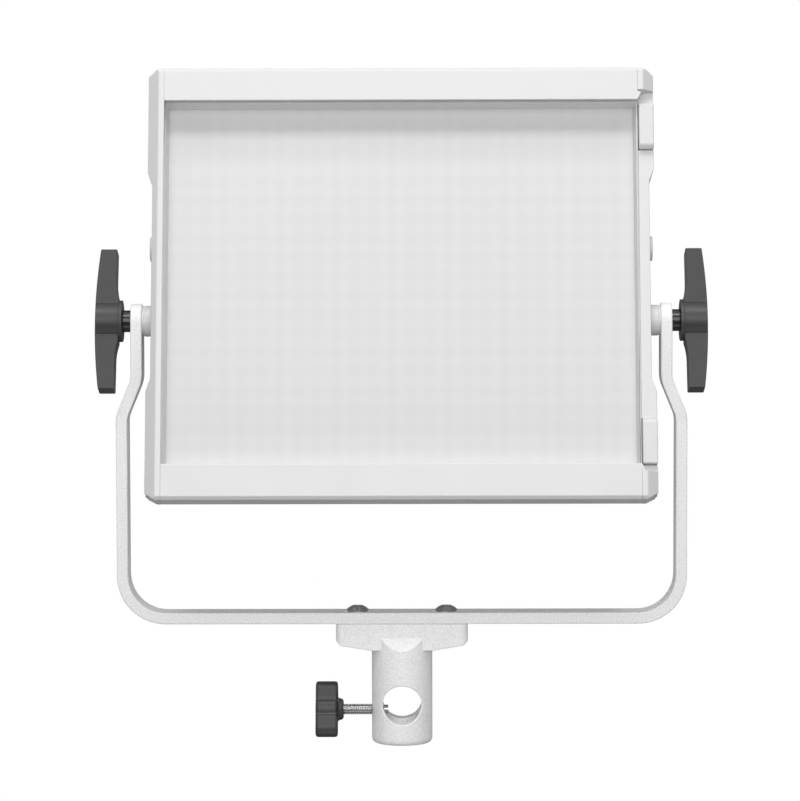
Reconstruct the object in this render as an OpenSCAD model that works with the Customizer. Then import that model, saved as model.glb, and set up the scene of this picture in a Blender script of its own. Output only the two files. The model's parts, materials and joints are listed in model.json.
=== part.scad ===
// LED panel light with a tilting head, a flat-bar yoke and a stand socket.
// Millimetres, +Z up. The origin is the centre of the stand socket's mouth. X runs across
// the light, -Y is the side that the light shines to.

/* [Stand socket] */
// Outside diameter of the socket post
socket_d = 35; // [34:0.5:37]
// Diameter of the bore for the stand's stud
stud_bore_d = 16.4; // [16.2:0.1:16.8]
// Depth of the stud bore
stud_bore_depth = 44; // [40:1:48]
// Diameter of the sight hole through the post
sight_hole_d = 22.4; // [20:0.2:23]
// Height of the sight hole's centre
sight_hole_z = 23.6; // [22:0.2:25]
// Length of the flange under the yoke
flange_l = 76; // [72:1:84]
// Depth of the flange, front to back
flange_w = 25.4; // [24:0.2:28]
// Height of the flange's top face
flange_top = 69.9; // [68:0.1:72]

/* [Clamp screw] */
// Diameter of the clamp screw
clamp_d = 6.35; // [6:0.05:6.5]
// Height of the clamp screw's axis
clamp_z = 19.1; // [18:0.1:20]
// Turn of the clamp knob's wings away from upright
clamp_turn = 24; // [0:1:90]

/* [Yoke] */
// Outside width across the lower arms
yoke_w = 327.8; // [326:0.2:334]
// Outside width across the upper arms
yoke_top_w = 310.4; // [309:0.2:314]
// Thickness of the flat bar
bar_t = 6.5; // [6:0.1:6.5]
// Width of the flat bar
bar_w = 20; // [18:0.5:24]
// Outside radius of the bottom corners
corner_r = 28; // [20:1:36]
// Angle of the joggle in each arm
joggle_a = 22.5; // [15:0.5:25]
// Height at which the joggle starts
joggle_z = 186.4; // [178:0.1:190]
// Height of the tilt axis
pivot_z = 244.2; // [240:0.2:256]
// Distance between the two yoke bolts
bolt_spacing = 51.2; // [48:0.2:54]

/* [Tilt handles] */
// Length of a T handle, tip to tip
handle_l = 83.8; // [70:0.2:88]
// Turn of the T handles away from upright
handle_turn = 20; // [0:1:90]

/* [Head] */
// Backward lean of the head
head_tilt = 13; // [0:1:20]
// Height of the head above the tilt axis
head_top = 143.5; // [143.5:0.1:146]
// Height of the head below the tilt axis
head_bottom = 106.8; // [106.8:0.1:109]
// Columns of light emitters
led_columns = 25; // [10:1:25]
// Rows of light emitters
led_rows = 19; // [8:1:19]

/* [Hidden] */
$fn = 48;
eps = 0.01;

// Fits: a screw or shaft in its hole, and a sliding piece in its guide, per side
fit_gap = 0.05;
slide_gap = 0.3;

// Socket
socket_edge_r = 3.5;
socket_shoulder_z = 54.5;
socket_shoulder_top = 62;
flange_end_z = 57.7;
flange_root_z = 54.7;
flange_corner_r = 4;
bolt_r = 4;
bolt_head_r = 7.2;
bolt_head_h = 3.8;
bolt_end_z = 59;
bolt_hex = 5;

// Clamp screw and knob, along -X from the socket
clamp_tip_x = -8.1;
clamp_tip_l = 2.2;
clamp_collar_x = -33.9;
clamp_collar_r = 6.2;
clamp_knob_x = -37.2;
clamp_knob_t = 12.9;
clamp_knob_l = 33;
clamp_wing_r = 5.6;
clamp_hub_r = 7.4;

// Yoke arms
bend_r = 16;
bend_overlap = 0.5;
arm_x = yoke_w / 2 - bar_t / 2;
arm_top_x = yoke_top_w / 2 - bar_t / 2;
joggle_l = (arm_x - arm_top_x - 2 * bend_r * (1 - cos(joggle_a))) / sin(joggle_a);
joggle_top = joggle_z + 2 * bend_r * sin(joggle_a) + joggle_l * cos(joggle_a);
bar_top = flange_top + bar_t;
yoke_inner_x = yoke_top_w / 2 - bar_t;
yoke_outer_x = yoke_top_w / 2;

// Tilt screws and handles, along X from the centre
spacer_r = 6.3;
spacer_l = 4.9;
collar_r = 12;
collar_t = 2.1;
collar_x = yoke_outer_x + spacer_l;
hub_r = 11.2;
hub_l = 13.6;
hub_x = collar_x + collar_t;
hub_end = hub_x + hub_l;
stud_r = 4;
stud_inner_x = 134.5;
stud_outer_x = hub_end - 8;
handle_bow = 2.6;
handle_tip_t = 9.4;
handle_arm_w = 11.5;
flare_r = 36;
bow_r = ((handle_l / 2) * (handle_l / 2) + handle_bow * handle_bow) / (2 * handle_bow);
handle_inner_x = hub_end - handle_bow - handle_tip_t;
flare_z = hub_r + sqrt(flare_r * flare_r - pow(flare_r - (handle_inner_x - hub_x), 2)) + 1.5;
boss_r = 8.85;
boss_stem_r = 7;
washer_r = 8.5;
washer_t = 1;
boss_end = yoke_inner_x - fit_gap - washer_t;

// Head: x across, y from front to back and z up, all from the tilt axis
front_y = -25;
back_y = 18;
cap_x = 145.2;
waist_x = 142.4;
left_waist_top = 75.7;
right_waist_top = 78.3;
waist_bottom = -37;
waist_slope = 7;
rail_x = 135.8;
face_x = 139;
side_bevel_y = 5.5;
edge_bevel = 1.9;
corner_x = 6;
corner_z = 4.2;
taper_z = 5.5;
back_bevel = 6;
side_back_bevel = 4;
rail_back_y = -3.6;
lip_t = 2;
slot_back_y = -17.5;
slot_h = 4.6;
lip_top_h = 19.2;
lip_bottom_h = 20.3;
wall = 2.2;
open_top = head_top - lip_top_h;
open_bottom = -head_bottom + lip_bottom_h;
slot_top = open_top + slot_h;
slot_bottom = open_bottom - slot_h;
open_left = -135.6;
bezel_left = -140.1;
bezel_right = 136.2;
bezel_front_right = 135.2;
bezel_rear_x = 133.8;
bezel_step = 1.8;
side_front_y = -17;
side_open_top = 130;
side_open_bottom = -90.4;
hollow_x = 140.5;
hollow_back_y = 15.5;
rail_screw_y = -12;
rail_screw_h = 5.7;
rail_screw_r = 1.5;
plug_z = 42;
plug_r = 7.1;
plug_h = 2.3;
plug_stem_r = 4;

// Accessory latches
latch_l = 26;
latch_bevel = 2;
latch_x0 = 136.6;
latch_x1 = 145.1;
latch_front_y = -22;
latch_back_y = -11;
latch_floor_y = -5;
latch_hole_y = 4.5;
latch_stem_x = 140.9;
latch_stem_r = 2;
latch_z = [109.5, -73.2];

// Light engine, front to back
diffuser_y = -9;
diffuser_t = 2;
box_x = 134.5;
box_top = slot_top - 0.2;
box_bottom = slot_bottom + 0.2;
board_y = 3;
board_t = 1.6;
chip_size = 3;
chip_t = 0.7;
sink_t = 2;
sink_y = board_y + board_t;
fin_y = sink_y + sink_t;
fin_back_y = 12.5;
fin_t = 1.6;
fin_pitch = 9;
fin_count = 14;

// Rear shell
shell_y = 17;
shell_inset = 1;
rear_screw_spots = [
    [-124, 123], [0, 123], [124, 123], [-124, 20], [124, 20], [-124, -85], [124, -85]
];
screw_r = 1.5;
screw_head_r = 3;

// Coil springs: straight facets per turn, and sides of the wire
spring_steps = 10;
spring_sides = 6;

// Fan
fan_z = 60;
fan_s = 50;
fan_r = 23.5;
fan_y0 = 6.8;
fan_y1 = 14.6;
fan_blades = 7;
fan_hub_r = 10.5;
fan_plate_r = 9;
fan_bearing_r = 3.4;
fan_pin_r = 1.5;

// Control housing on the back
pod_x = 64;
pod_z0 = -92;
pod_z1 = -18;
pod_y = 26;
pod_wall = 2;
pod_bevel = 3;
pod_board_y = 18.4;
dial_x = [-30, 0, 30];
dial_z = -76;
dial_r = 7.5;
dial_y1 = 35.5;
dial_shaft_r = 3;
button_x = 31;
button_z = [-31, -42, -53];
button_r = 3.4;
button_y0 = 21;
display_w = 44;
display_h = 30;
display_z = -42;
switch_x = -50;
switch_z = -38;
switch_w = 15;
switch_h = 21;
switch_pivot_y = 25;
inlet_x = 50;
inlet_z = -38;
inlet_r = 5.6;
inlet_bore_r = 2.8;
usb_x = 50;
usb_z = -64;
pod_screw_spots = [
    [6 - pod_x, pod_z0 + 8], [pod_x - 6, pod_z0 + 8],
    [6 - pod_x, pod_z1 - 8], [pod_x - 6, pod_z1 - 8]
];

// Driver board inside the rear shell
driver_x = 54;
driver_y = 8.6;
driver_t = 1.6;
driver_z0 = pod_z0 + 10;
driver_z1 = pod_z1 - 4;

// Battery plates on the back
battery_x = 92;
battery_z0 = -6;
battery_l = 72;
battery_rail_x = 19.5;
battery_y = 20.5;
release_z = battery_z0 + 9;
release_y0 = 14;
release_y1 = 22.4;
release_w = 9;
release_h = 7;
cup_y = 8.6;
cup_floor_y = 10;

// ---- helpers ----

// Places children drawn in the head's own frame
module in_head() {
    translate([0, 0, pivot_z]) rotate([-head_tilt, 0, 0]) children();
}

// Box between two corners
module block(x0, x1, y0, y1, z0, z1) {
    translate([x0, y0, z0]) cube([x1 - x0, y1 - y0, z1 - z0]);
}

// Extrudes an x-z outline from y0 to y1
module extrude_y(y0, y1) {
    translate([0, y1, 0]) rotate([90, 0, 0]) linear_extrude(y1 - y0) children();
}

// Extrudes a y-z outline from x0 to x1
module extrude_x(x0, x1) {
    translate([x0, 0, 0]) rotate([90, 0, 90]) linear_extrude(x1 - x0) children();
}

// Cylinder along X
module rod_x(x0, x1, r) {
    translate([x0, 0, 0]) rotate([0, 90, 0]) cylinder(h = x1 - x0, r = r);
}

// Cylinder along Y at x, z
module rod_y(x, z, y0, y1, r) {
    translate([x, y0, z]) rotate([-90, 0, 0]) cylinder(h = y1 - y0, r = r);
}

// Rectangle centred on the origin with round corners
module round_rect(w, h, r) {
    square([w - 2 * r, h], center = true);
    square([w, h - 2 * r], center = true);
    for (sx = [-1, 1], sy = [-1, 1])
        translate([sx * (w / 2 - r), sy * (h / 2 - r)]) circle(r);
}

// Draws the children, or their mirror image on the left
module on_side(side) {
    if (side < 0) mirror([1, 0, 0]) children();
    else children();
}

// Ring sector between two angles, for a bend in flat bar. It runs a little past both
// angles, so that it joins the straight stretches.
module ring_sector(r, t, a0, a1) {
    far = 2 * r;
    intersection() {
        difference() {
            circle(r + t / 2, $fn = 96);
            circle(r - t / 2, $fn = 96);
        }
        polygon([
            [0, 0], [far * cos(a0 - bend_overlap), far * sin(a0 - bend_overlap)],
            [far * cos(a1 + bend_overlap), far * sin(a1 + bend_overlap)]
        ]);
    }
}

// Coil spring about the Y axis, starting at y0
function spring_point(i, k, r, wire, pitch, y0) =
    let (turn = 360 * i / spring_steps, side = 360 * k / spring_sides)
    [
        (r + wire * cos(side)) * cos(turn),
        y0 + pitch * i / spring_steps + wire * sin(side),
        (r + wire * cos(side)) * sin(turn)
    ];

module coil_spring(r, wire, length, turns, y0) {
    rings = turns * spring_steps;
    pitch = (length - 2 * wire) / turns;
    n = spring_sides;
    points = [
        for (i = [0 : rings], k = [0 : n - 1])
            spring_point(i, k, r, wire, pitch, y0 + wire)
    ];
    faces = concat(
        [[for (k = [0 : n - 1]) k]],
        [
            for (i = [0 : rings - 1], k = [0 : n - 1])
                [i * n + k, (i + 1) * n + k, (i + 1) * n + (k + 1) % n, i * n + (k + 1) % n]
        ],
        [[for (k = [n - 1 : -1 : 0]) rings * n + k]]
    );
    polyhedron(points, faces);
}

// ---- stand socket, yoke and clamp ----

module socket_post() {
    r = socket_d / 2;
    intersection() {
        rotate_extrude($fn = 96) {
            translate([0, socket_edge_r]) square([r, flange_top - socket_edge_r]);
            square([r - socket_edge_r, socket_edge_r + eps]);
            translate([r - socket_edge_r, socket_edge_r]) circle(socket_edge_r);
        }
        extrude_x(-r - 1, r + 1) polygon([
            [-r - 1, -1], [r + 1, -1], [r + 1, socket_shoulder_z - 1],
            [flange_w / 2, socket_shoulder_top], [flange_w / 2, flange_top],
            [-flange_w / 2, flange_top], [-flange_w / 2, socket_shoulder_top],
            [-r - 1, socket_shoulder_z - 1]
        ]);
    }
}

module socket_flange() {
    half = flange_l / 2;
    root = socket_d / 2;
    intersection() {
        extrude_y(-flange_w, flange_w) polygon([
            [-root, flange_root_z], [root, flange_root_z], [half - 2.5, flange_end_z],
            [half, flange_end_z + 2.5], [half, flange_top - 1], [half - 1, flange_top],
            [1 - half, flange_top], [-half, flange_top - 1], [-half, flange_end_z + 2.5],
            [2.5 - half, flange_end_z]
        ]);
        linear_extrude(2 * flange_top) round_rect(flange_l, flange_w, flange_corner_r);
    }
}

module stand_socket() {
    rim = 1;
    color("gainsboro") difference() {
        union() {
            socket_post();
            socket_flange();
        }
        translate([0, 0, -1]) cylinder(h = stud_bore_depth + 1, d = stud_bore_d);
        translate([0, 0, -eps]) cylinder(h = rim, r1 = stud_bore_d / 2 + rim, r2 = stud_bore_d / 2);
        rod_y(0, sight_hole_z, -socket_d, socket_d, sight_hole_d / 2);
        translate([0, 0, clamp_z]) rod_x(-socket_d, 0, clamp_d / 2 + fit_gap);
        for (s = [-1, 1])
            translate([s * bolt_spacing / 2, 0, 0]) cylinder(h = 2 * flange_top, r = bolt_r + fit_gap);
    }
}

// Right half of the yoke's front outline
module yoke_half_outline() {
    half = yoke_w / 2;
    translate([-1, flange_top]) square([half - corner_r + 1, bar_t]);
    translate([half - corner_r, flange_top + corner_r])
        ring_sector(corner_r - bar_t / 2, bar_t, -90, 0);
    translate([half - bar_t, flange_top + corner_r])
        square([bar_t, joggle_z - flange_top - corner_r]);
    translate([arm_x - bend_r, joggle_z]) ring_sector(bend_r, bar_t, 0, joggle_a);
    translate([
        arm_x - bend_r * (1 - cos(joggle_a)),
        joggle_z + bend_r * sin(joggle_a)
    ]) rotate(joggle_a) translate([-bar_t / 2, 0]) square([bar_t, joggle_l]);
    translate([arm_top_x + bend_r, joggle_top]) ring_sector(bend_r, bar_t, 180, 180 + joggle_a);
    translate([yoke_inner_x, joggle_top]) square([bar_t, pivot_z - joggle_top]);
}

module yoke_bracket() {
    color("gainsboro") difference() {
        union() for (side = [-1, 1]) on_side(side) {
            extrude_y(-bar_w / 2, bar_w / 2) yoke_half_outline();
            translate([0, 0, pivot_z]) rod_x(yoke_inner_x, yoke_outer_x, bar_w / 2);
        }
        for (s = [-1, 1])
            translate([s * bolt_spacing / 2, 0, 0]) cylinder(h = 2 * flange_top, r = bolt_r + 0.4);
        translate([0, 0, pivot_z]) rod_x(-yoke_w, yoke_w, stud_r + 0.2);
    }
}

module yoke_bolts() {
    dome_r = (bolt_head_r * bolt_head_r + bolt_head_h * bolt_head_h) / (2 * bolt_head_h);
    color("silver") for (s = [-1, 1]) translate([s * bolt_spacing / 2, 0, 0]) difference() {
        union() {
            translate([0, 0, bolt_end_z]) cylinder(h = bar_top - bolt_end_z + 1, r = bolt_r);
            translate([0, 0, bar_top]) intersection() {
                cylinder(h = bolt_head_h - 0.3, r = bolt_head_r);
                translate([0, 0, bolt_head_h - dome_r]) sphere(dome_r, $fn = 64);
            }
        }
        translate([0, 0, bar_top + bolt_head_h - 3])
            cylinder(h = 4, r = bolt_hex / sqrt(3), $fn = 6);
    }
}

module clamp_tip() {
    color("silver") translate([0, 0, clamp_z])
        rod_x(clamp_tip_x - clamp_tip_l, clamp_tip_x, clamp_d / 2 - 0.6);
}

module clamp_screw() {
    color("silver") translate([0, 0, clamp_z])
        rod_x(clamp_knob_x - clamp_knob_t / 2, clamp_tip_x - clamp_tip_l, clamp_d / 2);
}

module clamp_knob() {
    reach = clamp_knob_l / 2 - clamp_wing_r;
    far_x = clamp_knob_x - clamp_knob_t;
    color("dimgray") translate([0, 0, clamp_z]) rotate([-clamp_turn, 0, 0]) difference() {
        union() {
            rod_x(clamp_knob_x - 1, clamp_collar_x, clamp_collar_r);
            extrude_x(far_x, clamp_knob_x) {
                circle(clamp_hub_r);
                translate([-clamp_wing_r, -reach]) square([2 * clamp_wing_r, 2 * reach]);
                for (s = [-1, 1]) translate([0, s * reach]) circle(clamp_wing_r);
            }
        }
        rod_x(clamp_knob_x - clamp_knob_t / 2 - 0.2, 0, clamp_d / 2 + fit_gap);
    }
}

// ---- tilt screws and handles ----

// Front outline of a T handle's grip
module grip_outline() {
    half = handle_l / 2;
    difference() {
        intersection() {
            translate([hub_end - bow_r, 0]) circle(bow_r, $fn = 180);
            translate([hub_x, -half]) square([hub_end - hub_x + 1, handle_l]);
        }
        for (s = [-1, 1]) {
            translate([handle_inner_x - flare_r, s * flare_z]) circle(flare_r, $fn = 120);
            translate([hub_x - 1, s > 0 ? flare_z : -flare_z - half])
                square([handle_inner_x - hub_x + 1, half]);
        }
    }
}

module tilt_handle(side) {
    color("dimgray") translate([0, 0, pivot_z]) on_side(side) rotate([-handle_turn, 0, 0])
        difference() {
            union() {
                rod_x(collar_x, hub_x, collar_r);
                rod_x(hub_x - eps, hub_end - 0.6, hub_r);
                extrude_y(-handle_arm_w / 2, handle_arm_w / 2) grip_outline();
            }
            rod_x(collar_x - 1, stud_outer_x + 0.2, stud_r + fit_gap);
        }
}

module tilt_stud(side) {
    color("silver") translate([0, 0, pivot_z]) on_side(side)
        rod_x(stud_inner_x, stud_outer_x, stud_r);
}

module spacer(side) {
    color("black") translate([0, 0, pivot_z]) on_side(side) difference() {
        rod_x(yoke_outer_x + fit_gap, collar_x - fit_gap, spacer_r);
        rod_x(0, yoke_w, stud_r + 0.1);
    }
}

module left_spacer() { spacer(-1); }
module right_spacer() { spacer(1); }
module left_stud() { tilt_stud(-1); }
module right_stud() { tilt_stud(1); }
module left_handle() { tilt_handle(-1); }
module right_handle() { tilt_handle(1); }

module pivot_boss(side) {
    color("whitesmoke") in_head() on_side(side) difference() {
        union() {
            rod_x(waist_x, boss_end, boss_r);
            rod_x(stud_inner_x, waist_x + 1, boss_stem_r);
        }
        rod_x(0, yoke_w, stud_r + fit_gap);
    }
}

module left_pivot_boss() { pivot_boss(-1); }
module right_pivot_boss() { pivot_boss(1); }

module friction_washers() {
    color("white") in_head() for (side = [-1, 1]) on_side(side) difference() {
        rod_x(boss_end, yoke_inner_x - fit_gap, washer_r);
        rod_x(0, yoke_w, stud_r + 0.1);
    }
}

// ---- head frame ----

// Rail section: y is depth, x2 is the distance in from the outer face
function rail_points(lip_h) = [
    [front_y, lip_h], [front_y, edge_bevel], [front_y + edge_bevel, 0], [rail_back_y, 0],
    [rail_back_y, lip_h - slot_h - 0.1], [front_y + lip_t, lip_h - slot_h - 0.1],
    [front_y + lip_t, lip_h]
];
function rail_hollow(lip_h) = [
    [front_y + wall, edge_bevel + 1], [front_y + edge_bevel + 1, wall],
    [rail_back_y - wall, wall], [rail_back_y - wall, lip_h - slot_h - wall],
    [front_y + wall, lip_h - slot_h - wall]
];

module rail_section(lip_h) {
    difference() {
        polygon(rail_points(lip_h));
        difference() {
            polygon(rail_hollow(lip_h));
            translate([rail_screw_y, rail_screw_h]) circle(rail_screw_r + 2);
            translate([rail_screw_y - 1, 0]) square([2, rail_screw_h - rail_screw_r - 1]);
        }
        translate([rail_screw_y, rail_screw_h]) circle(rail_screw_r + fit_gap);
    }
}

// Rail drawn downward from z = 0, with a slanted lead-in on the lip's right end
module rail(lip_h) {
    mirror([0, 0, 1]) {
        extrude_x(-rail_x, rail_x) rail_section(lip_h);
        extrude_y(front_y, front_y + lip_t) polygon([
            [rail_x - 1, lip_h], [rail_x, lip_h], [rail_x + 2.4, lip_h - slot_h],
            [rail_x - 1, lip_h - slot_h]
        ]);
    }
}

module top_rail() {
    color("whitesmoke") in_head() translate([0, 0, head_top]) rail(lip_top_h);
}

module bottom_rail() {
    color("whitesmoke") in_head() translate([0, 0, -head_bottom])
        mirror([0, 0, 1]) rail(lip_bottom_h);
}

// Side outline of the head behind the rails, tapering to a bevelled back at y_back
function back_outline(y_back, inset) = [
    [rail_back_y, inset - head_bottom],
    [y_back - back_bevel, inset - head_bottom + taper_z],
    [y_back, inset - head_bottom + taper_z + back_bevel],
    [y_back, head_top - inset - taper_z - back_bevel],
    [y_back - back_bevel, head_top - inset - taper_z],
    [rail_back_y, head_top - inset]
];

// Outer form of an end cap on the right: three outlines cut one form
module cap_form(waist_top) {
    intersection() {
        extrude_x(rail_x, cap_x) polygon(concat(
            [[front_y, edge_bevel - head_bottom], [front_y + edge_bevel, -head_bottom]],
            back_outline(back_y, 0),
            [[front_y + edge_bevel, head_top], [front_y, head_top - edge_bevel]]
        ));
        extrude_y(front_y, back_y) polygon([
            [rail_x, head_top], [cap_x - corner_x, head_top], [cap_x, head_top - corner_z],
            [cap_x, waist_top + waist_slope], [waist_x, waist_top], [waist_x, waist_bottom],
            [cap_x, waist_bottom - waist_slope], [cap_x, -head_bottom + corner_z],
            [cap_x - corner_x, -head_bottom], [rail_x, -head_bottom]
        ]);
        translate([0, 0, -2 * head_bottom]) linear_extrude(4 * head_top) polygon([
            [rail_x, front_y], [face_x, front_y], [cap_x, front_y + side_bevel_y],
            [cap_x, back_y - side_back_bevel], [cap_x - side_back_bevel, back_y],
            [rail_x, back_y]
        ]);
    }
}

// Posts for the rail screws, at the heights of the rails' screw channels
module at_rail_screws() {
    for (z = [head_top - rail_screw_h, rail_screw_h - head_bottom])
        translate([0, rail_screw_y, z]) children();
}

module cap_holes() {
    rod_x(stud_inner_x, cap_x + 1, boss_stem_r + fit_gap);
    translate([0, 0, plug_z]) rod_x(rail_x - 1, cap_x + 1, plug_stem_r + fit_gap);
    at_rail_screws() {
        rod_x(rail_x - 1, cap_x + 1, rail_screw_r + 0.1);
        rod_x(cap_x - 2, cap_x + 1, rail_screw_r + 2.1);
    }
}

// Inside of an end cap, behind front_wall_y
module cap_hollow(front_wall_y) {
    difference() {
        extrude_x(rail_x - 1, hollow_x) polygon(concat(
            [[front_wall_y, wall - head_bottom]],
            back_outline(hollow_back_y, wall),
            [[front_wall_y, head_top - wall]]
        ));
        at_rail_screws() rod_x(rail_x, cap_x, rail_screw_r + 2.5);
        rod_x(rail_x, cap_x, boss_r);
        translate([0, 0, plug_z]) rod_x(rail_x, cap_x, plug_r);
    }
}

module left_end_cap() {
    color("whitesmoke") in_head() on_side(-1) difference() {
        cap_form(left_waist_top);
        cap_hollow(diffuser_y);
        cap_holes();
        block(
            rail_x - 1, -bezel_left + fit_gap, front_y + lip_t, diffuser_y + 1,
            slot_bottom - fit_gap, slot_top + fit_gap
        );
    }
}

// Pocket in the right end cap behind each latch
module latch_pocket(z, grow) {
    half = latch_l / 2 + slide_gap + grow;
    block(rail_x - 1, cap_x + 1, side_front_y - 1, latch_floor_y + 2 * grow, z - half, z + half);
}

module right_end_cap() {
    color("whitesmoke") in_head() difference() {
        cap_form(right_waist_top);
        difference() {
            cap_hollow(side_front_y + 2.5);
            for (z = latch_z) latch_pocket(z, 1.5);
        }
        cap_holes();
        block(
            rail_x - 1, cap_x + 1, front_y - 1, side_front_y,
            side_open_bottom, side_open_top
        );
        block(
            rail_x - 1, bezel_right + fit_gap, slot_back_y - 1, diffuser_y + 3,
            slot_bottom - fit_gap, slot_top + fit_gap
        );
        for (z = latch_z) {
            latch_pocket(z, 0);
            rod_y(latch_stem_x, z, latch_floor_y - 1, latch_hole_y, latch_stem_r + fit_gap);
        }
    }
}

module end_cap_screws() {
    color("silver") in_head() for (side = [-1, 1]) on_side(side) at_rail_screws()
        difference() {
            union() {
                rod_x(rail_x - 16, cap_x - 1, rail_screw_r);
                rod_x(cap_x - 2, cap_x - 0.3, rail_screw_r + 1.4);
            }
            translate([cap_x - 1.2, 0, 0]) rotate([0, 90, 0]) cylinder(h = 2, r = 1.2, $fn = 6);
        }
}

module side_plugs() {
    color("whitesmoke") in_head() for (side = [-1, 1]) on_side(side) translate([0, 0, plug_z])
        difference() {
            union() {
                rod_x(waist_x, waist_x + plug_h, plug_r);
                rod_x(rail_x, waist_x + 1, plug_stem_r);
            }
            translate([waist_x + plug_h - 1.4, 0, 0]) rotate([0, 90, 0])
                cylinder(h = 2, r = 2.9, $fn = 6);
        }
}

module latch(z) {
    half = latch_l / 2;
    inner = z > 0 ? -1 : 1;
    color("whitesmoke") in_head() {
        extrude_x(latch_x0, latch_x1) polygon([
            [latch_front_y, z - inner * half], [latch_front_y, z + inner * (half - latch_bevel)],
            [latch_front_y + latch_bevel, z + inner * half], [latch_back_y, z + inner * half],
            [latch_back_y, z - inner * half]
        ]);
        rod_y(latch_stem_x, z, latch_back_y - 1, -0.5, latch_stem_r);
    }
}

module latch_spring(z) {
    color("silver") in_head() translate([latch_stem_x, 0, z])
        coil_spring(3, 0.3, latch_floor_y - latch_back_y - 0.2, 4, latch_back_y + 0.1);
}

module upper_latch() { latch(latch_z[0]); }
module lower_latch() { latch(latch_z[1]); }
module upper_latch_spring() { latch_spring(latch_z[0]); }
module lower_latch_spring() { latch_spring(latch_z[1]); }

// ---- light engine ----

module front_bezel() {
    color("white") in_head() difference() {
        block(bezel_left, bezel_right, slot_back_y, diffuser_y, slot_bottom, slot_top);
        intersection() {
            translate([0, 0, 2 * slot_bottom]) linear_extrude(4 * slot_top) polygon([
                [open_left, slot_back_y - eps], [bezel_front_right, slot_back_y - eps],
                [bezel_rear_x, diffuser_y + eps], [-bezel_rear_x, diffuser_y + eps]
            ]);
            extrude_x(-rail_x, rail_x) polygon([
                [slot_back_y - eps, open_bottom], [slot_back_y - eps, open_top],
                [diffuser_y + eps, open_top - bezel_step],
                [diffuser_y + eps, open_bottom + bezel_step]
            ]);
        }
    }
}

module diffuser() {
    color("white", 0.8) in_head() block(
        -box_x, box_x, diffuser_y, diffuser_y + diffuser_t, open_bottom - 2, open_top + 2
    );
}

module light_box() {
    color("white") in_head() difference() {
        block(-box_x, box_x, diffuser_y + diffuser_t, board_y, box_bottom, box_top);
        block(
            wall - box_x, box_x - wall, diffuser_y, board_y + 1,
            box_bottom + wall, box_top - wall
        );
    }
}

module led_board() {
    color("white") in_head() block(-box_x, box_x, board_y, sink_y, box_bottom, box_top);
}

module led_chips() {
    pitch_x = 2 * bezel_rear_x / led_columns;
    pitch_z = (open_top - open_bottom) / led_rows;
    color("khaki") in_head()
        for (i = [0 : led_columns - 1], k = [0 : led_rows - 1])
            translate([
                (i + 0.5) * pitch_x - bezel_rear_x - chip_size / 2,
                board_y - chip_t,
                (k + 0.5) * pitch_z + open_bottom - chip_size / 2
            ]) cube([chip_size, chip_t, chip_size]);
}

module heat_sink() {
    fan_bay = fan_s / 2 + 2;
    color("silver") in_head() difference() {
        union() {
            block(-box_x, box_x, sink_y, fin_y, box_bottom, box_top);
            for (s = [-1, 1], i = [0 : fin_count - 1]) {
                x = s * (i + 0.5) * fin_pitch;
                block(x - fin_t / 2, x + fin_t / 2, fin_y - eps, fin_back_y, box_bottom, box_top);
            }
            for (p = rear_screw_spots)
                rod_y(p[0], p[1], sink_y, shell_y - wall, screw_r + 2.5);
        }
        block(-fan_bay, fan_bay, fin_y, shell_y, fan_z - fan_bay, fan_z + fan_bay);
        block(-58, 58, fin_y, shell_y, pod_z0, pod_z1 + 4);
        for (s = [-1, 1])
            block(s * battery_x - 9, s * battery_x + 9, fin_y, shell_y, release_z - 8, release_z + 8);
        for (p = rear_screw_spots)
            rod_y(p[0], p[1], fin_y, shell_y, screw_r + fit_gap);
    }
}

module fan_frame() {
    half = fan_s / 2;
    color("dimgray") in_head() translate([0, 0, fan_z]) difference() {
        union() {
            difference() {
                block(-half, half, fan_y0, fan_y1, -half, half);
                rod_y(0, 0, fan_y0 - 1, fan_y1 + 1, fan_r);
            }
            rod_y(0, 0, fan_y0 + 0.1, fan_y0 + 1.3, fan_plate_r);
            rod_y(0, 0, fan_y0 + 0.2, fan_y0 + 4, fan_bearing_r);
            for (a = [30, 150, 270]) rotate([0, a, 0])
                block(-1.2, 1.2, fan_y0 + 0.3, fan_y0 + 1.1, 5, half - 1.2);
        }
        rod_y(0, 0, fan_y0 + 0.7, fan_y1, fan_pin_r + fit_gap);
    }
}

module fan_rotor() {
    tip = fan_r - 0.8;
    color("black") in_head() translate([0, 0, fan_z]) {
        difference() {
            rod_y(0, 0, fan_y0 + 1.8, fan_y1 - 0.6, fan_hub_r);
            rod_y(0, 0, fan_y0 + 1, fan_y1 - 2.2, 8.5);
        }
        rod_y(0, 0, fan_y0 + 0.9, fan_y1 - 1, fan_pin_r);
        for (i = [0 : fan_blades - 1]) rotate([0, i * 360 / fan_blades, 0])
            intersection() {
                translate([0, (fan_y0 + fan_y1) / 2 + 0.6, 0]) rotate([0, 0, 35])
                    block(-6, 6, -0.5, 0.5, fan_hub_r - 1, tip + 2);
                rod_y(0, 0, fan_y0 + 1.9, fan_y1 - 0.7, tip);
            }
    }
}

module driver_board() {
    color("seagreen") in_head() {
        block(-driver_x, driver_x, driver_y, driver_y + driver_t, driver_z0, driver_z1);
        for (sx = [-1, 1], z = [driver_z0 + 4, driver_z1 - 4])
            rod_y(sx * (driver_x - 4), z, fin_y, driver_y + 0.1, 2.5);
    }
}

module driver_parts() {
    y = driver_y + driver_t;
    color("dimgray") in_head() {
        for (i = [0 : 4]) rod_y(16 * (i - 2), driver_z0 + 6, y, y + 5.8, 4.2);
        for (i = [0 : 2]) block(28 * i - 36, 28 * i - 22, y, y + 5.3, -58, -44);
        block(-46, -38, y, y + 3.8, -40, -32);
    }
}

// ---- rear shell ----

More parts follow.
